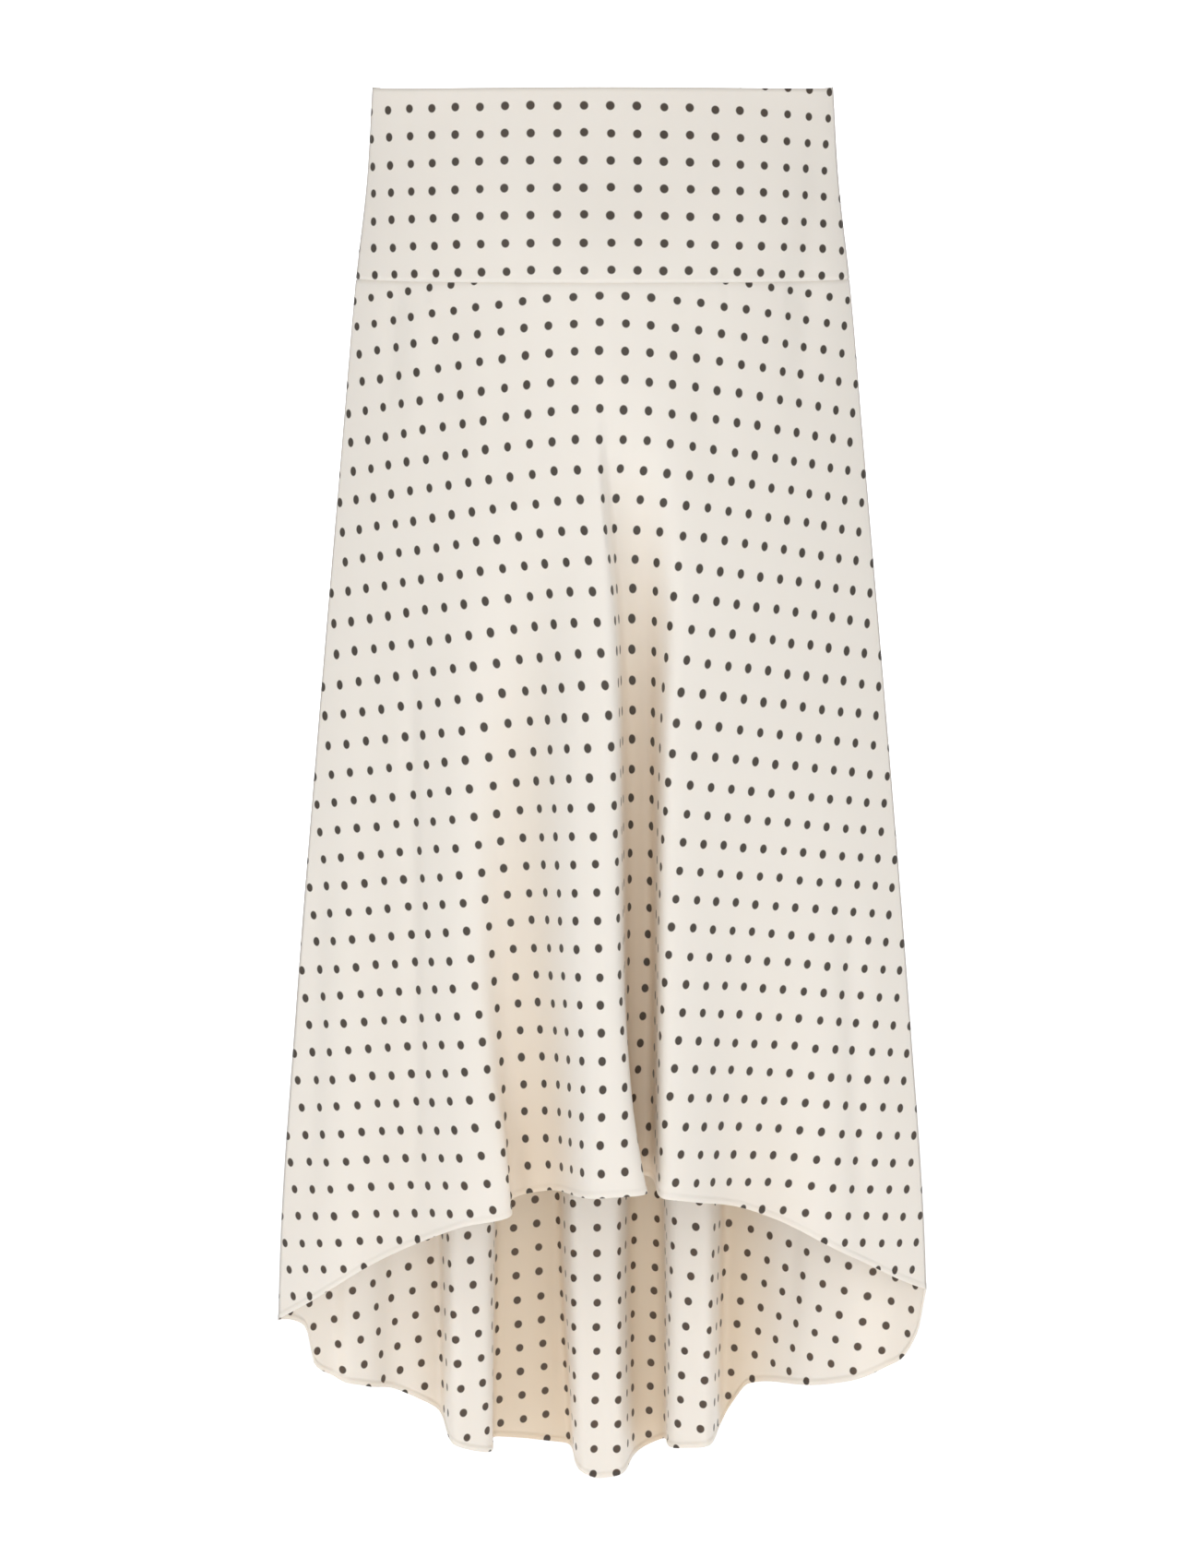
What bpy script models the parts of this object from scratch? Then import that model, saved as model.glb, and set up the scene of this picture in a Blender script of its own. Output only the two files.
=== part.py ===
"""An asymmetric skirt: a plain hip yoke and a flared skirt, short in front and long behind.

The skirt is filled out with nobody in it. It is a tube of four cloth panels, open at the waist and
at the hem. Metres, +Z up, -Y is the front. The origin is the middle of the waist opening.
"""
import math

import bmesh
import bpy
import numpy as np

NAME = "asymmetric_skirt"

# Cloth
WALL = 0.0015
SEAM_GAP = 0.0003
CLOTH_COLOUR = (0.84, 0.79, 0.71, 1.0)
CLOTH_ROUGHNESS = 0.55

# Heights below the waist opening: at the side seams, and the change towards the panels' middles
WAIST_FRONT_DIP = 0.004
YOKE_SIDE = 0.132
YOKE_FRONT_EXTRA = 0.005
YOKE_BACK_EXTRA = 0.010
HEM_SIDE = 0.882
HEM_SIDE_LEAN = 0.012

# How much higher the front's hem hangs than the side seams, and how much lower the back's hem
# does, at shares of the half width from the left seam to the right one
HEM = ("share", "change")
HEM_POWER = {"front": 1.25, "back": 1.40}
HEM_ROWS = {
    "front": (
        (-1.00, 0.000),
        (-0.90, -0.016),
        (-0.80, -0.033),
        (-0.60, -0.063),
        (-0.40, -0.088),
        (-0.20, -0.104),
        (0.00, -0.112),
        (0.20, -0.104),
        (0.40, -0.088),
        (0.60, -0.063),
        (0.80, -0.033),
        (0.90, -0.016),
        (1.00, 0.000),
    ),
    "back": (
        (-1.00, 0.000),
        (-0.96, 0.005),
        (-0.92, 0.014),
        (-0.89, 0.046),
        (-0.82, 0.059),
        (-0.74, 0.067),
        (-0.56, 0.094),
        (-0.45, 0.120),
        (-0.33, 0.131),
        (-0.11, 0.148),
        (0.00, 0.160),
        (0.11, 0.154),
        (0.20, 0.134),
        (0.37, 0.127),
        (0.46, 0.094),
        (0.72, 0.078),
        (0.91, 0.060),
        (0.97, 0.036),
        (1.00, 0.000),
    ),
}

# Faces across each panel and down each panel
PANEL_COLUMNS = 80
YOKE_ROWS = 4
FRONT_ROWS = 15
BACK_ROWS = 18
COLUMNS_SPREAD_AT = 0.780

# The rings round the body, without their folds. A power of 2 rounds the middle of a panel like a
# circle, and an edge of 1 brings it to the side seams in a point, where 0.5 would round it off.
RING = (
    "below_waist", "half_width",
    "front_depth", "front_power", "front_edge", "back_depth", "back_power", "back_edge",
)
RINGS = (
    (0.000, 0.162, 0.055, 1.85, 0.82, 0.072, 2.20, 0.75),
    (0.060, 0.166, 0.071, 2.05, 0.84, 0.085, 2.10, 0.78),
    (0.135, 0.175, 0.091, 1.60, 0.88, 0.100, 2.00, 0.80),
    (0.250, 0.186, 0.101, 1.40, 0.91, 0.106, 1.80, 0.82),
    (0.450, 0.205, 0.108, 1.28, 0.93, 0.112, 1.60, 0.84),
    (0.650, 0.223, 0.114, 1.25, 0.93, 0.118, 1.50, 0.85),
    (0.850, 0.238, 0.121, 1.25, 0.93, 0.124, 1.45, 0.85),
    (1.050, 0.244, 0.124, 1.25, 0.93, 0.128, 1.40, 0.85),
)

# Each fold is a valley in its panel, with a row for each height: the valley's place along X, how
# far off the middles of its walls stand, its depth, how far each lip leans over the valley, and
# how sharply the walls turn.
FOLD = (
    "below_waist", "place", "left_half", "right_half", "depth", "left_lip", "right_lip", "turn",
)
FOLDS = {
    "front": {
        "deep valley right of the middle": (
            (0.205, 0.003, 0.006, 0.024, 0.000, 0.000, 0.000, 3.0),
            (0.243, 0.005, 0.006, 0.026, 0.004, 0.000, 0.000, 3.0),
            (0.284, 0.008, 0.006, 0.027, 0.014, 0.000, 0.000, 3.2),
            (0.327, 0.013, 0.007, 0.025, 0.023, 0.001, 0.000, 3.4),
            (0.369, 0.018, 0.009, 0.023, 0.031, 0.002, 0.001, 3.6),
            (0.450, 0.023, 0.012, 0.018, 0.042, 0.003, 0.003, 4.0),
            (0.600, 0.026, 0.014, 0.015, 0.054, 0.005, 0.005, 4.0),
            (0.700, 0.027, 0.015, 0.014, 0.060, 0.012, 0.005, 4.0),
            (0.800, 0.027, 0.015, 0.014, 0.064, 0.029, 0.005, 4.0),
        ),
        "recess left of the middle": (
            (0.290, -0.052, 0.024, 0.024, 0.000, 0.000, 0.000, 2.2),
            (0.360, -0.053, 0.024, 0.022, 0.008, 0.000, 0.000, 2.2),
            (0.450, -0.055, 0.025, 0.021, 0.018, 0.000, 0.000, 2.4),
            (0.585, -0.056, 0.026, 0.023, 0.029, 0.002, 0.000, 2.7),
            (0.690, -0.053, 0.025, 0.027, 0.037, 0.006, 0.000, 3.0),
            (0.740, -0.051, 0.025, 0.027, 0.042, 0.012, 0.000, 3.4),
            (0.800, -0.050, 0.025, 0.027, 0.045, 0.017, 0.000, 3.6),
        ),
        "soft trough on the right": (
            (0.450, 0.110, 0.032, 0.036, 0.000, 0.000, 0.000, 3.0),
            (0.650, 0.110, 0.032, 0.038, 0.008, 0.000, 0.000, 3.0),
            (0.830, 0.108, 0.030, 0.040, 0.020, 0.000, 0.000, 3.5),
        ),
        "soft trough on the left": (
            (0.300, -0.150, 0.026, 0.030, 0.000, 0.000, 0.000, 3.0),
            (0.500, -0.152, 0.026, 0.032, 0.005, 0.000, 0.000, 3.0),
            (0.850, -0.156, 0.028, 0.036, 0.010, 0.000, 0.000, 3.0),
        ),
    },
    "back": {
        "fold left of the middle": (
            (0.330, -0.085, 0.020, 0.020, 0.000, 0.000, 0.000, 4.0),
            (0.600, -0.094, 0.020, 0.020, 0.026, 0.000, 0.003, 4.5),
            (0.850, -0.099, 0.021, 0.021, 0.042, 0.002, 0.009, 5.5),
            (1.030, -0.099, 0.021, 0.021, 0.046, 0.003, 0.013, 5.5),
        ),
        "middle fold": (
            (0.280, -0.004, 0.022, 0.022, 0.000, 0.000, 0.000, 4.0),
            (0.600, -0.005, 0.026, 0.024, 0.028, 0.002, 0.001, 4.5),
            (0.850, -0.005, 0.027, 0.024, 0.046, 0.006, 0.004, 5.5),
            (1.050, -0.001, 0.024, 0.025, 0.052, 0.008, 0.007, 5.5),
        ),
        "fold right of the middle": (
            (0.350, 0.062, 0.020, 0.022, 0.000, 0.000, 0.000, 4.0),
            (0.600, 0.064, 0.021, 0.022, 0.030, 0.003, 0.000, 4.5),
            (0.850, 0.066, 0.022, 0.022, 0.052, 0.009, 0.002, 5.0),
            (1.030, 0.066, 0.022, 0.022, 0.058, 0.013, 0.003, 5.0),
        ),
        "broad fold on the right": (
            (0.450, 0.165, 0.034, 0.030, 0.000, 0.000, 0.000, 3.5),
            (0.980, 0.172, 0.036, 0.030, 0.022, 0.000, 0.000, 3.5),
        ),
        "narrow fold on the left": (
            (0.600, -0.178, 0.013, 0.014, 0.000, 0.000, 0.000, 3.5),
            (0.960, -0.184, 0.013, 0.016, 0.014, 0.000, 0.000, 3.5),
        ),
    },
}
LIP_PLACE = 1.3
LIP_WIDTH = 0.4


def read(rows, columns, column, below):
    """A column of a table at each height, along a curve that never swings past its rows."""
    heights = np.array([row[0] for row in rows])
    values = np.array([row[columns.index(column)] for row in rows])
    steps = np.diff(heights)
    climbs = np.diff(values) / steps
    slopes = np.concatenate([climbs[:1], np.zeros(len(rows) - 2), climbs[-1:]])
    for i in range(1, len(rows) - 1):
        if climbs[i - 1] * climbs[i] > 0:
            slopes[i] = 2 * climbs[i - 1] * climbs[i] / (climbs[i - 1] + climbs[i])
    below = np.clip(below, heights[0], heights[-1])
    i = np.clip(np.searchsorted(heights, below, side="right") - 1, 0, len(rows) - 2)
    t = (below - heights[i]) / steps[i]
    return (
        values[i] * (1 + 2 * t) * (1 - t) ** 2
        + values[i + 1] * t ** 2 * (3 - 2 * t)
        + steps[i] * (slopes[i] * t * (1 - t) ** 2 - slopes[i + 1] * t ** 2 * (1 - t))
    )


def draped(side, across, below):
    """X and Y of the cloth's outer face, from the left seam (across -1) to the right (across 1)."""
    angle = across * math.pi / 2
    power = 2 / read(RINGS, RING, side + "_power", below)
    x = read(RINGS, RING, "half_width", below) * np.sign(angle) * np.abs(np.sin(angle)) ** power
    edge = 2 * read(RINGS, RING, side + "_edge", below)
    out = read(RINGS, RING, side + "_depth", below) * np.abs(np.cos(angle)) ** edge
    unfolded_x = x.copy()
    for rows in FOLDS[side].values():
        place, left, right, depth, left_lip, right_lip, turn = (
            read(rows, FOLD, column, below) for column in FOLD[1:]
        )
        reach = (unfolded_x - place) / np.where(unfolded_x < place, left, right)
        out -= depth * 0.5 ** (np.abs(reach) ** turn)
        lean = np.exp(-(((np.abs(reach) - LIP_PLACE) / LIP_WIDTH) ** 2))
        x += np.where(reach < 0, left_lip, -right_lip) * lean
    return x, (-out if side == "front" else out)


def outward(side, across, below):
    """X and Y of the level direction that points out of the cloth."""
    step = 1e-4
    x0, y0 = draped(side, np.clip(across - step, -1, 1), below)
    x1, y1 = draped(side, np.clip(across + step, -1, 1), below)
    size = np.hypot(x1 - x0, y1 - y0)
    turn = 1 if side == "front" else -1
    nx, ny = turn * (y1 - y0) / size, -turn * (x1 - x0) / size
    at_seam = np.abs(across) > 1 - step
    return np.where(at_seam, np.sign(across), nx), np.where(at_seam, 0.0, ny)


def column_places(side):
    """Places across a panel that are evenly spaced along the folded cloth near the hem."""
    across = np.linspace(-1, 1, 4001)
    x, y = draped(side, across, np.full_like(across, COLUMNS_SPREAD_AT))
    along = np.concatenate([[0], np.cumsum(np.hypot(np.diff(x), np.diff(y)))])
    return np.interp(np.linspace(0, along[-1], PANEL_COLUMNS + 1), along, across)


def waist_edge(side, across):
    return WAIST_FRONT_DIP * (1 - across ** 2) * (side == "front")


def yoke_seam(side, across):
    extra = YOKE_FRONT_EXTRA if side == "front" else YOKE_BACK_EXTRA
    return YOKE_SIDE + extra * (1 - across ** 2)


def hem(side, across):
    share = np.sign(across) * np.abs(np.sin(across * math.pi / 2)) ** (2 / HEM_POWER[side])
    return HEM_SIDE - HEM_SIDE_LEAN * across + read(HEM_ROWS[side], HEM, "change", share)


def panel(name, side, top, bottom, rows):
    """One cut piece: a grid that is draped, and then given a wall's thickness inwards."""
    bm = bmesh.new()
    out_x, out_y = (bm.verts.layers.float.new(key) for key in ("out_x", "out_y"))
    bmesh.ops.create_grid(bm, x_segments=PANEL_COLUMNS, y_segments=rows, size=1)
    verts = bm.verts[:]
    grid = np.array([vert.co[:2] for vert in verts])
    turn = 1 if side == "front" else -1
    column = np.rint((turn * grid[:, 0] + 1) / 2 * PANEL_COLUMNS).astype(int)
    across = column_places(side)[column]
    down = (1 - grid[:, 1]) / 2
    below = top(side, across) * (1 - down) + bottom(side, across) * down
    x, y = draped(side, across, below)
    y = np.where(np.abs(across) > 1 - 1e-9, 0.0, y) - turn * SEAM_GAP / 2
    nx, ny = outward(side, across, below)
    for i, vert in enumerate(verts):
        vert.co = (x[i], y[i], -below[i])
        vert[out_x], vert[out_y] = nx[i], ny[i]
    wall = bmesh.ops.extrude_face_region(bm, geom=bm.faces[:])
    for vert in wall["geom"]:
        if isinstance(vert, bmesh.types.BMVert):
            vert.co.x -= vert[out_x] * WALL
            vert.co.y -= vert[out_y] * WALL
    bmesh.ops.recalc_face_normals(bm, faces=bm.faces[:])
    mesh = bpy.data.meshes.new(name)
    bm.to_mesh(mesh)
    bm.free()
    mesh.materials.append(cloth_material(name + "_cloth"))
    mesh.shade_smooth()
    mesh.set_sharp_from_angle(angle=math.radians(60))
    return bpy.data.objects.new(name, mesh)


def cloth_material(name):
    material = bpy.data.materials.new(name)
    material.use_nodes = True
    shader = material.node_tree.nodes["Principled BSDF"]
    shader.inputs["Base Color"].default_value = CLOTH_COLOUR
    shader.inputs["Roughness"].default_value = CLOTH_ROUGHNESS
    shader.inputs["Metallic"].default_value = 0.0
    return material


def above_seam(side, across):
    return yoke_seam(side, across) - SEAM_GAP / 2


def below_seam(side, across):
    return yoke_seam(side, across) + SEAM_GAP / 2


def main():
    for obj in list(bpy.data.objects):
        bpy.data.objects.remove(obj, do_unlink=True)
    collection = bpy.data.collections.new(NAME)
    bpy.context.scene.collection.children.link(collection)
    for side, skirt_rows in (("front", FRONT_ROWS), ("back", BACK_ROWS)):
        yoke = panel("yoke_" + side, side, waist_edge, above_seam, YOKE_ROWS)
        skirt = panel("skirt_" + side, side, below_seam, hem, skirt_rows)
        collection.objects.link(yoke)
        collection.objects.link(skirt)


main()
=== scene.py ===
"""An asymmetric skirt of dotted satin, filled out with nobody in it, in a pale studio."""
import math

import bmesh
import bpy
import numpy as np
from bpy.props import FloatProperty, FloatVectorProperty, PointerProperty
from bpy.types import Operator, Panel, PropertyGroup
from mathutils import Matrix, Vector


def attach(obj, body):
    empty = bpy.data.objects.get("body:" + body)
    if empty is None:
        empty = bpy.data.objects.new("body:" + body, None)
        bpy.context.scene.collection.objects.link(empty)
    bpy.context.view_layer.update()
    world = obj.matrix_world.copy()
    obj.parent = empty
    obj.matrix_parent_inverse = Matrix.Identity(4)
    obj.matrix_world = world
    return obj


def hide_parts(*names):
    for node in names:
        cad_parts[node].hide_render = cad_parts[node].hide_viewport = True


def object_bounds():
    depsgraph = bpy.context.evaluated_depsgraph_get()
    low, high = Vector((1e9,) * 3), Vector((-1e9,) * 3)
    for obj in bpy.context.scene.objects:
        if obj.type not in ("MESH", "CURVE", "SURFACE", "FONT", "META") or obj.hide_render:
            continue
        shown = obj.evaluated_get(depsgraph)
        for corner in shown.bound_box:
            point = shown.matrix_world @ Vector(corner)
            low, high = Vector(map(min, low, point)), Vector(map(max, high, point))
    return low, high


bl_info = {
    "name": "Asymmetric skirt",
    "version": (1, 0, 0),
    "blender": (4, 5, 0),
    "location": "3D View > Sidebar > Skirt",
    "description": "Makes a dotted high-low skirt on a hip yoke, and a plain studio round it",
    "category": "Object",
}

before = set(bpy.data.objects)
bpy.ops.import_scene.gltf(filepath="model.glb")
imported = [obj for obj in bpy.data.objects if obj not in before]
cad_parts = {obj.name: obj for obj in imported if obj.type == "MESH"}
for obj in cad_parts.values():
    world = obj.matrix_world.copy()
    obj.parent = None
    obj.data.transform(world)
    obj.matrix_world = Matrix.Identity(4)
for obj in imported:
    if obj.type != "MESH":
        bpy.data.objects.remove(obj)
CAD_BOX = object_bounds()

BODY = "root"

# Heights below the waist opening: at the side seams, and the change towards the panels' middles
SEAM_GAP = 0.0003
WAIST_FRONT_DIP = 0.004
YOKE_SIDE = 0.132
YOKE_FRONT_EXTRA = 0.005
YOKE_BACK_EXTRA = 0.010
HEM_SIDE = 0.882
HEM_SIDE_LEAN = 0.012

# How much higher the front's hem hangs than the side seams, and how much lower the back's hem
# does, at shares of the half width from the left seam to the right one
HEM = ("share", "change")
HEM_POWER = {"front": 1.25, "back": 1.40}
HEM_ROWS = {
    "front": (
        (-1.00, 0.000),
        (-0.90, -0.016),
        (-0.80, -0.033),
        (-0.60, -0.063),
        (-0.40, -0.088),
        (-0.20, -0.104),
        (0.00, -0.112),
        (0.20, -0.104),
        (0.40, -0.088),
        (0.60, -0.063),
        (0.80, -0.033),
        (0.90, -0.016),
        (1.00, 0.000),
    ),
    "back": (
        (-1.00, 0.000),
        (-0.96, 0.005),
        (-0.92, 0.014),
        (-0.89, 0.046),
        (-0.82, 0.059),
        (-0.74, 0.067),
        (-0.56, 0.094),
        (-0.45, 0.120),
        (-0.33, 0.131),
        (-0.11, 0.148),
        (0.00, 0.160),
        (0.11, 0.154),
        (0.20, 0.134),
        (0.37, 0.127),
        (0.46, 0.094),
        (0.72, 0.078),
        (0.91, 0.060),
        (0.97, 0.036),
        (1.00, 0.000),
    ),
}

COLUMNS_SPREAD_AT = 0.780

# The rings round the body, without their folds. A power of 2 rounds the middle of a panel like a
# circle, and an edge of 1 brings it to the side seams in a point, where 0.5 would round it off.
RING = (
    "below_waist", "half_width",
    "front_depth", "front_power", "front_edge", "back_depth", "back_power", "back_edge",
)
RINGS = (
    (0.000, 0.162, 0.055, 1.85, 0.82, 0.072, 2.20, 0.75),
    (0.060, 0.166, 0.071, 2.05, 0.84, 0.085, 2.10, 0.78),
    (0.135, 0.175, 0.091, 1.60, 0.88, 0.100, 2.00, 0.80),
    (0.250, 0.186, 0.101, 1.40, 0.91, 0.106, 1.80, 0.82),
    (0.450, 0.205, 0.108, 1.28, 0.93, 0.112, 1.60, 0.84),
    (0.650, 0.223, 0.114, 1.25, 0.93, 0.118, 1.50, 0.85),
    (0.850, 0.238, 0.121, 1.25, 0.93, 0.124, 1.45, 0.85),
    (1.050, 0.244, 0.124, 1.25, 0.93, 0.128, 1.40, 0.85),
)

# Each fold is a valley in its panel, with a row for each height: the valley's place along X, how
# far off the middles of its walls stand, its depth, how far each lip leans over the valley, and
# how sharply the walls turn.
FOLD = (
    "below_waist", "place", "left_half", "right_half", "depth", "left_lip", "right_lip", "turn",
)
FOLDS = {
    "front": {
        "deep valley right of the middle": (
            (0.205, 0.003, 0.006, 0.024, 0.000, 0.000, 0.000, 3.0),
            (0.243, 0.005, 0.006, 0.026, 0.004, 0.000, 0.000, 3.0),
            (0.284, 0.008, 0.006, 0.027, 0.014, 0.000, 0.000, 3.2),
            (0.327, 0.013, 0.007, 0.025, 0.023, 0.001, 0.000, 3.4),
            (0.369, 0.018, 0.009, 0.023, 0.031, 0.002, 0.001, 3.6),
            (0.450, 0.023, 0.012, 0.018, 0.042, 0.003, 0.003, 4.0),
            (0.600, 0.026, 0.014, 0.015, 0.054, 0.005, 0.005, 4.0),
            (0.700, 0.027, 0.015, 0.014, 0.060, 0.012, 0.005, 4.0),
            (0.800, 0.027, 0.015, 0.014, 0.064, 0.029, 0.005, 4.0),
        ),
        "recess left of the middle": (
            (0.290, -0.052, 0.024, 0.024, 0.000, 0.000, 0.000, 2.2),
            (0.360, -0.053, 0.024, 0.022, 0.008, 0.000, 0.000, 2.2),
            (0.450, -0.055, 0.025, 0.021, 0.018, 0.000, 0.000, 2.4),
            (0.585, -0.056, 0.026, 0.023, 0.029, 0.002, 0.000, 2.7),
            (0.690, -0.053, 0.025, 0.027, 0.037, 0.006, 0.000, 3.0),
            (0.740, -0.051, 0.025, 0.027, 0.042, 0.012, 0.000, 3.4),
            (0.800, -0.050, 0.025, 0.027, 0.045, 0.017, 0.000, 3.6),
        ),
        "soft trough on the right": (
            (0.450, 0.110, 0.032, 0.036, 0.000, 0.000, 0.000, 3.0),
            (0.650, 0.110, 0.032, 0.038, 0.008, 0.000, 0.000, 3.0),
            (0.830, 0.108, 0.030, 0.040, 0.020, 0.000, 0.000, 3.5),
        ),
        "soft trough on the left": (
            (0.300, -0.150, 0.026, 0.030, 0.000, 0.000, 0.000, 3.0),
            (0.500, -0.152, 0.026, 0.032, 0.005, 0.000, 0.000, 3.0),
            (0.850, -0.156, 0.028, 0.036, 0.010, 0.000, 0.000, 3.0),
        ),
    },
    "back": {
        "fold left of the middle": (
            (0.330, -0.085, 0.020, 0.020, 0.000, 0.000, 0.000, 4.0),
            (0.600, -0.094, 0.020, 0.020, 0.026, 0.000, 0.003, 4.5),
            (0.850, -0.099, 0.021, 0.021, 0.042, 0.002, 0.009, 5.5),
            (1.030, -0.099, 0.021, 0.021, 0.046, 0.003, 0.013, 5.5),
        ),
        "middle fold": (
            (0.280, -0.004, 0.022, 0.022, 0.000, 0.000, 0.000, 4.0),
            (0.600, -0.005, 0.026, 0.024, 0.028, 0.002, 0.001, 4.5),
            (0.850, -0.005, 0.027, 0.024, 0.046, 0.006, 0.004, 5.5),
            (1.050, -0.001, 0.024, 0.025, 0.052, 0.008, 0.007, 5.5),
        ),
        "fold right of the middle": (
            (0.350, 0.062, 0.020, 0.022, 0.000, 0.000, 0.000, 4.0),
            (0.600, 0.064, 0.021, 0.022, 0.030, 0.003, 0.000, 4.5),
            (0.850, 0.066, 0.022, 0.022, 0.052, 0.009, 0.002, 5.0),
            (1.030, 0.066, 0.022, 0.022, 0.058, 0.013, 0.003, 5.0),
        ),
        "broad fold on the right": (
            (0.450, 0.165, 0.034, 0.030, 0.000, 0.000, 0.000, 3.5),
            (0.980, 0.172, 0.036, 0.030, 0.022, 0.000, 0.000, 3.5),
        ),
        "narrow fold on the left": (
            (0.600, -0.178, 0.013, 0.014, 0.000, 0.000, 0.000, 3.5),
            (0.960, -0.184, 0.013, 0.016, 0.014, 0.000, 0.000, 3.5),
        ),
    },
}
LIP_PLACE = 1.3
LIP_WIDTH = 0.4

# Fine creases that the solids leave out: from one height to another, place along X at each end,
# half width, and height outwards (a trough is below zero)
CREASES = {
    "front": (
        (0.118, 0.240, 0.152, 0.134, 0.010, -0.0018),
        (0.020, 0.200, 0.158, 0.132, 0.012, -0.0022),
        (0.132, 0.230, -0.148, -0.150, 0.007, -0.0014),
        (0.134, 0.260, -0.128, -0.134, 0.009, 0.0012),
        (0.150, 0.300, -0.085, -0.090, 0.012, 0.0010),
        (0.150, 0.290, 0.070, 0.078, 0.012, -0.0010),
        (0.360, 0.860, -0.137, -0.134, 0.006, -0.0026),
        (0.560, 0.860, 0.176, 0.192, 0.009, -0.0030),
        (0.520, 0.850, -0.204, -0.218, 0.010, -0.0025),
    ),
    "back": (
        (0.134, 0.260, 0.120, 0.126, 0.010, -0.0014),
        (0.134, 0.240, -0.110, -0.118, 0.009, -0.0014),
        (0.030, 0.190, -0.150, -0.136, 0.012, -0.0020),
        (0.300, 0.900, 0.130, 0.118, 0.008, -0.0030),
        (0.340, 0.900, -0.170, -0.186, 0.009, -0.0030),
        (0.600, 1.000, 0.150, 0.140, 0.008, 0.0025),
    ),
}
CREASE_FADES = (0.25, 0.35)
# The creases flatten towards the side seams, the more sharply the higher this power
SEAM_FLATTENING = 12

# The yoke's turned edge laps over the skirt, which dips in under it
YOKE_LAP = 0.0007
DIP = 0.0008
DIP_HEIGHT = 0.0035

# Puckers along the yoke seam, which are fainter above it: ranges of their sizes
PUCKER_COUNT = 34
PUCKER_SEED = 11
PUCKER_PLACE = (-0.165, 0.165)
PUCKER_WIDTH = (0.0025, 0.006)
PUCKER_LENGTH = (0.012, 0.045)
PUCKER_HEIGHT = (-0.0007, 0.0006)
PUCKER_ABOVE_SEAM = 0.35

# The rolled hem: the heights of its rows of faces above the edge in shares of its width, the
# share of its width that is thicker, how far that stands out, and how much thicker it is
HEM_ROW_SHARES = (1.4, 1.0, 0.85, 0.45, 0.12)
ROLL_SHARE = 0.9
ROLL_OUT = 0.0003
ROLL_THICKNESS = 0.0008

# The painted shade on the outer face is full at this depth in a fold. On the inner face the
# painted shade grows from one height to another: in front by a little, and at the back between
# the folds, which end at a depth.
FULL_SHADE_DEPTH = 0.055
FRONT_INSIDE = (0.2, 0.4, 0.3)
BACK_INSIDE = (0.45, 0.30)
BACK_FOLD_DEPTH = 0.030
BACK_EDGE = (0.150, 0.060)
BACK_EDGE_SHADE = 0.15

# The flat cut. A panel's flat width grows evenly down its length. A straight row of the print
# hangs lower at the side seams than in the middle: by a sag, and in a corner of this width.
# The columns are the width at the top and its growth, the sag at the top and its growth, and the
# corner.
CUTS = {
    "yoke_front": (0.348, 0.37, 0.0030, 0.0000, 0.80),
    "yoke_back": (0.368, 0.37, 0.0030, 0.0000, 0.80),
    "skirt_front": (0.402, 0.60, 0.0210, 0.0330, 0.20),
    "skirt_back": (0.424, 0.46, 0.0210, 0.0330, 0.20),
}
# Where the print lies on each panel, and how much it tilts at the top of the yoke
PRINT_SHIFTS = {
    "yoke_front": (0.0038, -0.0073),
    "yoke_back": (0.0000, -0.0073),
    "skirt_front": (-0.0068, 0.0006),
    "skirt_back": (0.0020, 0.0040),
}
YOKE_TILT = 0.0030
YOKE_TILT_ENDS = 0.13
# How much cloth lies between the waist or the yoke seam and each height: the hung cloth has
# stretched a little along its length, most in the upper half of the skirt.
DOWN = ("below_waist", "cloth")
YOKE_DOWN = ((0.000, 0.000), (0.150, 0.1470))
SKIRT_DOWN = (
    (0.130, -0.0072),
    (0.138, 0.0000),
    (0.146, 0.0085),
    (0.183, 0.0451),
    (0.243, 0.1000),
    (0.346, 0.1915),
    (0.474, 0.3013),
    (0.593, 0.4111),
    (0.672, 0.4843),
    (0.769, 0.5739),
    (1.050, 0.8400),
)

# How finely a panel is sampled for the lengths along its rings
LEVEL_STEP = 0.010
DEEPEST = 1.060
RING_SAMPLES = 1441

CAMERA_PLACE = (-0.0023, -2.38, -0.171)
CAMERA_TARGET = (-0.0023, 0.0, -0.4943)
LENS_MM = 76.3
SENSOR_MM = 36.0
FLOOR_DROP = 0.25

# The paper's lengths: in front of the skirt, behind it, round the turn, and up
PAPER_FRONT = 3.0
PAPER_BACK = 5.0
PAPER_TURN = 1.2
PAPER_RISE = 3.0
PAPER_STEPS = 96
PAPER_HALF_WIDTH = 3.0
# How much the paper glows near the skirt and far from it, and between which distances it changes
PAPER_GLOW = (0.52, 1.00)
GLOW_REACH = (1.8, 4.2)
WORLD_STRENGTH = 0.44
LIGHT_TARGET = (0.0, 0.0, -0.5)
LIGHTS = (
    ("key", (-1.7, -2.3, 0.9), 1.2, 15.0, (1.0, 0.985, 0.97)),
    ("fill", (1.8, -2.2, 0.3), 1.4, 8.5, (1.0, 0.990, 0.98)),
    ("front", (0.1, -2.9, 0.0), 1.0, 14.0, (1.0, 0.990, 0.98)),
)


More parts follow.
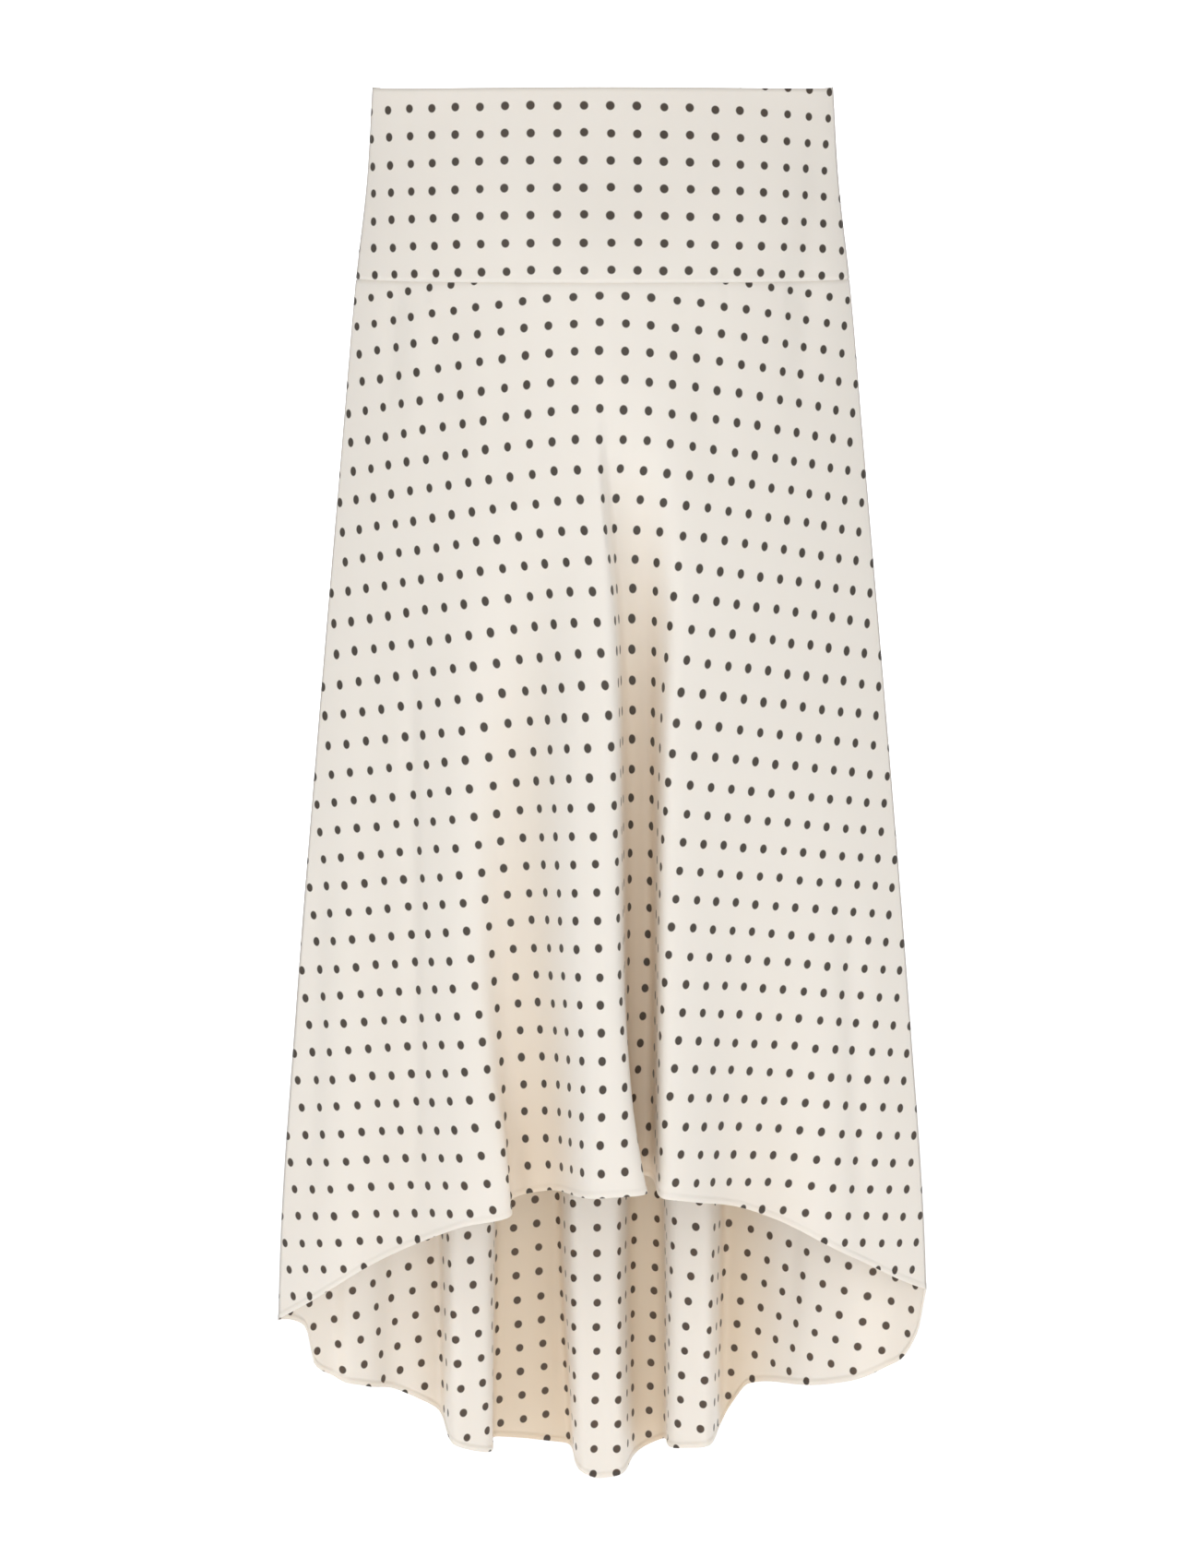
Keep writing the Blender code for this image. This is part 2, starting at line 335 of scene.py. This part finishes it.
class SkirtSettings(PropertyGroup):
    """What a user may change of the cloth."""

    dot_pitch: FloatProperty(
        name="Dot pitch", description="From one dot to the next", default=0.0183, unit="LENGTH"
    )
    dot_width: FloatProperty(
        name="Dot width", description="Across one dot", default=0.0056, unit="LENGTH"
    )
    cloth_thickness: FloatProperty(
        name="Cloth thickness", description="The wall of the cloth", default=0.0006, unit="LENGTH"
    )
    hem_width: FloatProperty(
        name="Hem width", description="Height of the rolled hem", default=0.0042, unit="LENGTH"
    )
    cloth_colour: FloatVectorProperty(
        name="Cloth", description="The ground of the cloth", subtype="COLOR",
        default=(0.870, 0.808, 0.730), min=0, max=1,
    )
    # Painted shade: the darker, warmer ground given to the cloth deep in a fold
    painted_shade_colour: FloatVectorProperty(
        name="Shade", description="The ground deep in a fold", subtype="COLOR",
        default=(0.77, 0.645, 0.51), min=0, max=1,
    )
    dot_colour: FloatVectorProperty(
        name="Dots", description="The printed dots", subtype="COLOR",
        default=(0.060, 0.050, 0.040), min=0, max=1,
    )


def read(rows, columns, column, below):
    """A column of a table at each height, along a curve that never swings past its rows."""
    heights = np.array([row[0] for row in rows])
    values = np.array([row[columns.index(column)] for row in rows])
    steps = np.diff(heights)
    climbs = np.diff(values) / steps
    slopes = np.concatenate([climbs[:1], np.zeros(len(rows) - 2), climbs[-1:]])
    for i in range(1, len(rows) - 1):
        if climbs[i - 1] * climbs[i] > 0:
            slopes[i] = 2 * climbs[i - 1] * climbs[i] / (climbs[i - 1] + climbs[i])
    below = np.clip(below, heights[0], heights[-1])
    i = np.clip(np.searchsorted(heights, below, side="right") - 1, 0, len(rows) - 2)
    t = (below - heights[i]) / steps[i]
    return (
        values[i] * (1 + 2 * t) * (1 - t) ** 2
        + values[i + 1] * t ** 2 * (3 - 2 * t)
        + steps[i] * (slopes[i] * t * (1 - t) ** 2 - slopes[i + 1] * t ** 2 * (1 - t))
    )


def draped(side, across, below):
    """X and Y of the cloth's outer face, and how deep in a fold each point lies."""
    angle = across * math.pi / 2
    power = 2 / read(RINGS, RING, side + "_power", below)
    x = read(RINGS, RING, "half_width", below) * np.sign(angle) * np.abs(np.sin(angle)) ** power
    edge = 2 * read(RINGS, RING, side + "_edge", below)
    out = read(RINGS, RING, side + "_depth", below) * np.abs(np.cos(angle)) ** edge
    unfolded_x = x.copy()
    depth_here = np.zeros_like(x)
    for rows in FOLDS[side].values():
        place, left, right, depth, left_lip, right_lip, turn = (
            read(rows, FOLD, column, below) for column in FOLD[1:]
        )
        reach = (unfolded_x - place) / np.where(unfolded_x < place, left, right)
        valley = depth * 0.5 ** (np.abs(reach) ** turn)
        out -= valley
        depth_here += valley
        lean = np.exp(-(((np.abs(reach) - LIP_PLACE) / LIP_WIDTH) ** 2))
        x += np.where(reach < 0, left_lip, -right_lip) * lean
    return x, (-out if side == "front" else out), depth_here


def outward(side, across, below):
    """X and Y of the level direction that points out of the cloth."""
    step = 1e-4
    x0, y0, _ = draped(side, np.clip(across - step, -1, 1), below)
    x1, y1, _ = draped(side, np.clip(across + step, -1, 1), below)
    size = np.hypot(x1 - x0, y1 - y0)
    turn = 1 if side == "front" else -1
    nx, ny = turn * (y1 - y0) / size, -turn * (x1 - x0) / size
    at_seam = np.abs(across) > 1 - step
    return np.where(at_seam, np.sign(across), nx), np.where(at_seam, 0.0, ny)


def column_places(side, columns):
    """Places across a panel that are evenly spaced along the folded cloth near the hem."""
    across = np.linspace(-1, 1, 4001)
    x, y, _ = draped(side, across, np.full_like(across, COLUMNS_SPREAD_AT))
    along = np.concatenate([[0], np.cumsum(np.hypot(np.diff(x), np.diff(y)))])
    return np.interp(np.linspace(0, along[-1], columns + 1), along, across)


def share_along(side, across, below):
    """Where each point lies along its ring of cloth, from -1 at the left seam to 1."""
    levels = np.arange(0, DEEPEST + LEVEL_STEP, LEVEL_STEP)
    places = np.linspace(-1, 1, RING_SAMPLES)
    grid_places, grid_levels = np.meshgrid(places, levels)
    x, y, _ = draped(side, grid_places, grid_levels)
    along = np.cumsum(np.hypot(np.diff(x, axis=1), np.diff(y, axis=1)), axis=1)
    along = np.concatenate([np.zeros((len(levels), 1)), along], axis=1)
    share = 2 * along / along[:, -1:] - 1
    level = np.clip(below / LEVEL_STEP, 0, len(levels) - 1.001)
    place = np.clip((across + 1) / 2 * (RING_SAMPLES - 1), 0, RING_SAMPLES - 1.001)
    i, j = level.astype(int), place.astype(int)
    s, t = level - i, place - j
    upper = share[i, j] * (1 - t) + share[i, j + 1] * t
    lower = share[i + 1, j] * (1 - t) + share[i + 1, j + 1] * t
    return upper * (1 - s) + lower * s


def waist_edge(side, across):
    return WAIST_FRONT_DIP * (1 - across ** 2) * (side == "front")


def yoke_seam(side, across):
    extra = YOKE_FRONT_EXTRA if side == "front" else YOKE_BACK_EXTRA
    return YOKE_SIDE + extra * (1 - across ** 2)


def hem(side, across):
    share = np.sign(across) * np.abs(np.sin(across * math.pi / 2)) ** (2 / HEM_POWER[side])
    return HEM_SIDE - HEM_SIDE_LEAN * across + read(HEM_ROWS[side], HEM, "change", share)


def yoke_edge(side, across):
    return yoke_seam(side, across) + YOKE_LAP


def skirt_edge(side, across):
    return yoke_seam(side, across) - YOKE_LAP


def smooth(t):
    t = np.clip(t, 0, 1)
    return t * t * (3 - 2 * t)


def creases(side, x, below):
    """Height of the fine creases and of the puckers under the yoke seam."""
    height = np.zeros_like(x)
    for top, bottom, place_top, place_bottom, half_width, rise in CREASES[side]:
        t = (below - top) / (bottom - top)
        place = place_top + (place_bottom - place_top) * np.clip(t, 0, 1)
        fade = smooth(t / CREASE_FADES[0]) * smooth((1 - t) / CREASE_FADES[1])
        height += rise * fade * np.exp(-(((x - place) / half_width) ** 2))
    rng = np.random.default_rng(PUCKER_SEED + (side == "back"))
    for _ in range(PUCKER_COUNT):
        place = rng.uniform(*PUCKER_PLACE)
        width = rng.uniform(*PUCKER_WIDTH)
        length = rng.uniform(*PUCKER_LENGTH)
        rise = rng.uniform(*PUCKER_HEIGHT)
        drop = below - YOKE_SIDE
        fade = smooth((length - np.abs(drop)) / length) * np.where(drop < 0, PUCKER_ABOVE_SEAM, 1.0)
        height += rise * fade * np.exp(-(((x - place) / width) ** 2))
    return height


def inside_shade(side, x, below, fold_depth):
    """How much painted shade the cloth's inner face takes.

    It lies between the back's folds, seen from inside, and grows down the front.
    """
    if side == "front":
        top, height, most = FRONT_INSIDE
        return most * smooth((below - top) / height)
    top, height = BACK_INSIDE
    between = 1 - smooth(fold_depth / BACK_FOLD_DEPTH)
    width = smooth((BACK_EDGE[0] - np.abs(x)) / BACK_EDGE[1])
    shade = BACK_EDGE_SHADE + (1 - BACK_EDGE_SHADE) * width
    return shade * between * smooth((below - top) / height)


def flat_place(name, share, below):
    """Where each point lies on its panel's flat cut, across and down."""
    yoke = name.startswith("yoke")
    width, width_growth, sag, sag_growth, corner = CUTS[name]
    shift_x, shift_y = PRINT_SHIFTS[name]
    down = read(YOKE_DOWN if yoke else SKIRT_DOWN, DOWN, "cloth", below)
    bend = (np.hypot(share, corner) - corner) / (math.hypot(1, corner) - corner)
    v = down - (sag + sag_growth * down) * bend
    if yoke:
        v -= YOKE_TILT * share * np.clip(1 - down / YOKE_TILT_ENDS, 0, 1)
    return share * (width + width_growth * down) / 2 + shift_x, v + shift_y


def cloth_panel(name, side, top, bottom, columns, rows, settings, hem_rows=()):
    """One cut piece of cloth, as a thin closed shell with its flat cut as its UV map."""
    bm = bmesh.new()
    keys = ("out_x", "out_y", "wall", "cloth_u", "cloth_v", "shade", "inner_shade")
    layers = {key: bm.verts.layers.float.new(key) for key in keys}
    bmesh.ops.create_grid(bm, x_segments=columns, y_segments=rows, size=1)
    verts = bm.verts[:]
    grid = np.array([vert.co[:2] for vert in verts])
    turn = 1 if side == "front" else -1
    column = np.rint((turn * grid[:, 0] + 1) / 2 * columns).astype(int)
    row = np.rint((1 - grid[:, 1]) / 2 * rows).astype(int)
    across = column_places(side, columns)[column]
    high, low = top(side, across), bottom(side, across)
    if hem_rows:
        plain = rows - len(hem_rows)
        above_hem = np.array([0.0] * (plain + 1) + list(hem_rows[1:]) + [0.0])
        body_end = low - hem_rows[0]
        below = np.where(
            row <= plain, high + (body_end - high) * row / plain, low - above_hem[row]
        )
    else:
        below = high + (low - high) * row / rows
    x, y, fold_depth = draped(side, across, below)
    nx, ny = outward(side, across, below)
    rise = creases(side, x, below) * (1 - np.abs(across) ** SEAM_FLATTENING)
    if name.startswith("skirt"):
        rise -= DIP * smooth(1 - (below - high - YOKE_LAP) / DIP_HEIGHT)
    x, y = x + nx * rise, y + ny * rise
    y = np.where(np.abs(across) > 1 - 1e-9, 0.0, y) - turn * SEAM_GAP / 2
    thickness = np.full(len(verts), settings.cloth_thickness)
    if hem_rows:
        in_hem = low - below < settings.hem_width * ROLL_SHARE
        x, y = x + nx * in_hem * ROLL_OUT, y + ny * in_hem * ROLL_OUT
        thickness = thickness + in_hem * ROLL_THICKNESS
    u, v = flat_place(name, share_along(side, across, below), below)
    # The shade attribute is painted shade: deep in folds outside, and inner_shade inside
    values = {
        "out_x": nx, "out_y": ny, "wall": thickness, "cloth_u": u, "cloth_v": v,
        "shade": smooth(fold_depth / FULL_SHADE_DEPTH),
        "inner_shade": inside_shade(side, x, below, fold_depth),
    }
    for i, vert in enumerate(verts):
        vert.co = (x[i], y[i], -below[i])
        for key in keys:
            vert[layers[key]] = values[key][i]
    wall = bmesh.ops.extrude_face_region(bm, geom=bm.faces[:])
    for vert in wall["geom"]:
        if isinstance(vert, bmesh.types.BMVert):
            vert.co.x -= vert[layers["out_x"]] * vert[layers["wall"]]
            vert.co.y -= vert[layers["out_y"]] * vert[layers["wall"]]
            # The inner face takes its own painted shade in place of the outer face's
            vert[layers["shade"]] = vert[layers["inner_shade"]]
    bmesh.ops.recalc_face_normals(bm, faces=bm.faces[:])
    uv = bm.loops.layers.uv.new("cloth")
    for face in bm.faces:
        face.smooth = True
        for loop in face.loops:
            loop[uv].uv = (loop.vert[layers["cloth_u"]], loop.vert[layers["cloth_v"]])
    mesh = bpy.data.meshes.new(name)
    bm.to_mesh(mesh)
    bm.free()
    obj = bpy.data.objects.new(name + "_cloth", mesh)
    bpy.context.scene.collection.objects.link(obj)
    mesh.materials.append(dotted_satin(settings))
    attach(obj, BODY)
    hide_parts(name)
    return obj


def node(tree, kind, label, place, **values):
    made = tree.nodes.new(kind)
    made.label = label
    made.location = place
    for key, value in values.items():
        setattr(made, key, value)
    return made


def dotted_satin(settings):
    """Ivory satin with printed dots that sit a little unevenly, a fine weave and a soft sheen.

    Deep in a fold its ground turns to the shade colour: painted shade.
    """
    name = "dotted_satin"
    if name in bpy.data.materials:
        return bpy.data.materials[name]
    material = bpy.data.materials.new(name)
    material.use_nodes = True
    tree = material.node_tree
    link = tree.links.new
    shader = tree.nodes["Principled BSDF"]
    uv = node(tree, "ShaderNodeUVMap", "Flat cut", (-1800, 0), uv_map="cloth")

    def maths(kind, label, place, first, second=None):
        made = node(tree, "ShaderNodeMath", label, place, operation=kind)
        for socket, value in zip(made.inputs, (first, second)):
            if value is None:
                continue
            if isinstance(value, (int, float)):
                socket.default_value = value
            else:
                link(value, socket)
        return made.outputs[0]

    def vector(kind, label, place, first, second=None):
        made = node(tree, "ShaderNodeVectorMath", label, place, operation=kind)
        link(first, made.inputs[0])
        if isinstance(second, tuple):
            made.inputs[1].default_value = second
        elif second is not None:
            link(second, made.inputs[1])
        return made

    per_pitch = 1 / settings.dot_pitch
    scaled = vector("MULTIPLY", "Pitches", (-1600, 0), uv.outputs[0], (per_pitch, per_pitch, 0))
    cell = vector("FLOOR", "Cell", (-1400, 100), scaled.outputs[0])
    noise = node(tree, "ShaderNodeTexWhiteNoise", "Uneven print", (-1200, 200))
    noise.noise_dimensions = "2D"
    link(cell.outputs[0], noise.inputs["Vector"])
    inside = vector("FRACTION", "In the cell", (-1400, -100), scaled.outputs[0])
    centred = vector("SUBTRACT", "From the middle", (-1200, -100), inside.outputs[0], (0.5, 0.5, 0))
    shift = vector("SUBTRACT", "Shift", (-1000, 200), noise.outputs["Color"], (0.5, 0.5, 0.5))
    small = vector("MULTIPLY", "Small shift", (-800, 200), shift.outputs[0], (0.045, 0.045, 0))
    placed = vector("ADD", "Placed", (-600, 0), centred.outputs[0], small.outputs[0])
    distance = vector("LENGTH", "Distance", (-400, 0), placed.outputs[0]).outputs["Value"]
    radius = settings.dot_width / 2 / settings.dot_pitch
    grow = maths("MULTIPLY", "Size change", (-800, 400), noise.outputs["Value"], 0.014)
    edge = maths("ADD", "Edge", (-600, 400), grow, radius)
    past = maths("SUBTRACT", "Past the edge", (-200, 100), edge, distance)
    soft = maths("MULTIPLY", "Soft edge", (0, 100), past, 28.0)
    dot = node(tree, "ShaderNodeClamp", "Dot", (200, 100))
    link(maths("ADD", "Half", (100, 0), soft, 0.5), dot.inputs[0])

    # Painted shade: the ground turns to the shade colour by depth in a fold
    shade = node(tree, "ShaderNodeAttribute", "Depth in fold", (-600, -300), attribute_name="shade")
    ground = node(tree, "ShaderNodeMix", "Ground", (0, -300), data_type="RGBA")
    ground.inputs["A"].default_value = (*settings.cloth_colour, 1)
    ground.inputs["B"].default_value = (*settings.painted_shade_colour, 1)
    link(shade.outputs["Fac"], ground.inputs["Factor"])
    printed = node(tree, "ShaderNodeMix", "Printed", (400, 0), data_type="RGBA")
    link(dot.outputs[0], printed.inputs["Factor"])
    link(ground.outputs["Result"], printed.inputs["A"])
    printed.inputs["B"].default_value = (*settings.dot_colour, 1)
    link(printed.outputs["Result"], shader.inputs["Base Color"])

    weave = node(tree, "ShaderNodeTexNoise", "Weave", (-400, -600))
    weave.inputs["Scale"].default_value = 1.0
    weave.inputs["Detail"].default_value = 2.0
    threads = vector("MULTIPLY", "Threads", (-800, -600), uv.outputs[0], (2600, 900, 0))
    link(threads.outputs[0], weave.inputs["Vector"])
    bump = node(tree, "ShaderNodeBump", "Weave relief", (0, -600))
    bump.inputs["Strength"].default_value = 0.12
    bump.inputs["Distance"].default_value = 0.0004
    link(weave.outputs["Fac"], bump.inputs["Height"])
    link(bump.outputs[0], shader.inputs["Normal"])
    shader.inputs["Roughness"].default_value = 0.48
    shader.inputs["Specular IOR Level"].default_value = 0.35
    shader.inputs["Sheen Weight"].default_value = 0.15
    shader.inputs["Sheen Roughness"].default_value = 0.4
    shader.inputs["Subsurface Weight"].default_value = 0.12
    shader.inputs["Subsurface Radius"].default_value = (0.010, 0.006, 0.004)
    shader.inputs["Subsurface Scale"].default_value = 0.6
    return material


class SKIRT_OT_yoke(Operator):
    """Makes the front and back of the hip yoke"""

    bl_idname = "skirt.yoke"
    bl_label = "Hip yoke"

    def execute(self, context):
        for side in ("front", "back"):
            cloth_panel(
                "yoke_" + side, side, waist_edge, yoke_edge, 160, 44,
                context.scene.skirt_settings,
            )
        return {"FINISHED"}


class SKIRT_OT_front(Operator):
    """Makes the short flared front panel with its rolled hem"""

    bl_idname = "skirt.front"
    bl_label = "Front panel"

    def execute(self, context):
        settings = context.scene.skirt_settings
        cloth_panel(
            "skirt_front", "front", skirt_edge, hem, 260, 160, settings,
            hem_rows_of(settings),
        )
        return {"FINISHED"}


class SKIRT_OT_back(Operator):
    """Makes the long flared back panel with its rolled hem"""

    bl_idname = "skirt.back"
    bl_label = "Back panel"

    def execute(self, context):
        settings = context.scene.skirt_settings
        cloth_panel(
            "skirt_back", "back", skirt_edge, hem, 250, 180, settings,
            hem_rows_of(settings),
        )
        return {"FINISHED"}


def hem_rows_of(settings):
    """Heights of the last rows of faces above the hem's edge."""
    return tuple(settings.hem_width * share for share in HEM_ROW_SHARES)


class SKIRT_OT_stage(Operator):
    """Makes the camera, the soft lights, and the pale floor with its raised back"""

    bl_idname = "skirt.stage"
    bl_label = "Studio"

    def execute(self, context):
        make_camera()
        make_floor()
        make_lights()
        return {"FINISHED"}


def make_camera():
    camera = bpy.data.objects.new("camera", bpy.data.cameras.new("camera"))
    bpy.context.scene.collection.objects.link(camera)
    camera.location = CAMERA_PLACE
    aim = Vector(CAMERA_TARGET) - Vector(CAMERA_PLACE)
    camera.rotation_euler = aim.to_track_quat("-Z", "Y").to_euler()
    camera.data.sensor_width = SENSOR_MM
    camera.data.lens = LENS_MM
    bpy.context.scene.camera = camera


def make_floor():
    """A sheet of white paper that lies on the floor and curves up behind the skirt."""
    bm = bmesh.new()
    low = CAD_BOX[0].z - FLOOR_DROP
    bmesh.ops.create_grid(bm, x_segments=1, y_segments=PAPER_STEPS, size=1)
    for vert in bm.verts:
        along = (vert.co.y + 1) / 2 * (PAPER_FRONT + PAPER_BACK + PAPER_TURN + PAPER_RISE)
        past = along - PAPER_FRONT - PAPER_BACK
        angle = min(max(past / PAPER_TURN, 0), 1) * math.pi / 2
        radius = PAPER_TURN * 2 / math.pi
        y = min(along, PAPER_FRONT + PAPER_BACK) - PAPER_FRONT + radius * math.sin(angle)
        z = low + radius * (1 - math.cos(angle)) + max(past - PAPER_TURN, 0)
        vert.co = (vert.co.x * PAPER_HALF_WIDTH, y, z)
    for face in bm.faces:
        face.smooth = True
    mesh = bpy.data.meshes.new("floor")
    bm.to_mesh(mesh)
    bm.free()
    floor = bpy.data.objects.new("floor", mesh)
    bpy.context.scene.collection.objects.link(floor)
    material = bpy.data.materials.new("studio_paper")
    material.use_nodes = True
    shader = material.node_tree.nodes["Principled BSDF"]
    shader.inputs["Base Color"].default_value = (0.94, 0.94, 0.94, 1)
    shader.inputs["Roughness"].default_value = 0.9
    shader.inputs["Emission Color"].default_value = (1, 1, 1, 1)
    tree = material.node_tree
    place = node(tree, "ShaderNodeTexCoord", "Place", (-900, 0))
    away = node(tree, "ShaderNodeVectorMath", "Distance", (-700, 0), operation="LENGTH")
    glow = node(tree, "ShaderNodeMapRange", "Glow", (-400, 0), interpolation_type="SMOOTHSTEP")
    for socket, value in zip(glow.inputs[1:5], GLOW_REACH + PAPER_GLOW):
        socket.default_value = value
    tree.links.new(place.outputs["Object"], away.inputs[0])
    tree.links.new(away.outputs["Value"], glow.inputs["Value"])
    tree.links.new(glow.outputs["Result"], shader.inputs["Emission Strength"])
    mesh.materials.append(material)


def make_lights():
    world = bpy.data.worlds.new("studio")
    world.use_nodes = True
    world.node_tree.nodes["Background"].inputs["Color"].default_value = (1.0, 1.0, 1.0, 1)
    world.node_tree.nodes["Background"].inputs["Strength"].default_value = WORLD_STRENGTH
    bpy.context.scene.world = world
    for name, place, size, watts, colour in LIGHTS:
        light = bpy.data.objects.new(name, bpy.data.lights.new(name, "AREA"))
        light.data.energy = watts
        light.data.size = size
        light.data.color = colour
        light.location = place
        aim = Vector(LIGHT_TARGET) - Vector(place)
        light.rotation_euler = aim.to_track_quat("-Z", "Y").to_euler()
        bpy.context.scene.collection.objects.link(light)
    bpy.context.scene.view_settings.view_transform = "Standard"


class SKIRT_PT_panel(Panel):
    """The skirt's sizes and the buttons that make its pieces"""

    bl_label = "Asymmetric skirt"
    bl_idname = "SKIRT_PT_panel"
    bl_space_type = "VIEW_3D"
    bl_region_type = "UI"
    bl_category = "Skirt"

    def draw(self, context):
        for key in SkirtSettings.__annotations__:
            self.layout.prop(context.scene.skirt_settings, key)
        for operator in OPERATORS:
            self.layout.operator(operator.bl_idname)


OPERATORS = (SKIRT_OT_yoke, SKIRT_OT_front, SKIRT_OT_back, SKIRT_OT_stage)
CLASSES = (SkirtSettings, *OPERATORS, SKIRT_PT_panel)


def register():
    for cls in CLASSES:
        bpy.utils.register_class(cls)
    bpy.types.Scene.skirt_settings = PointerProperty(type=SkirtSettings)


def unregister():
    del bpy.types.Scene.skirt_settings
    for cls in reversed(CLASSES):
        bpy.utils.unregister_class(cls)


def main():
    register()
    bpy.ops.skirt.yoke()
    bpy.ops.skirt.front()
    bpy.ops.skirt.back()
    bpy.ops.skirt.stage()


if __name__ == "__main__":
    main()
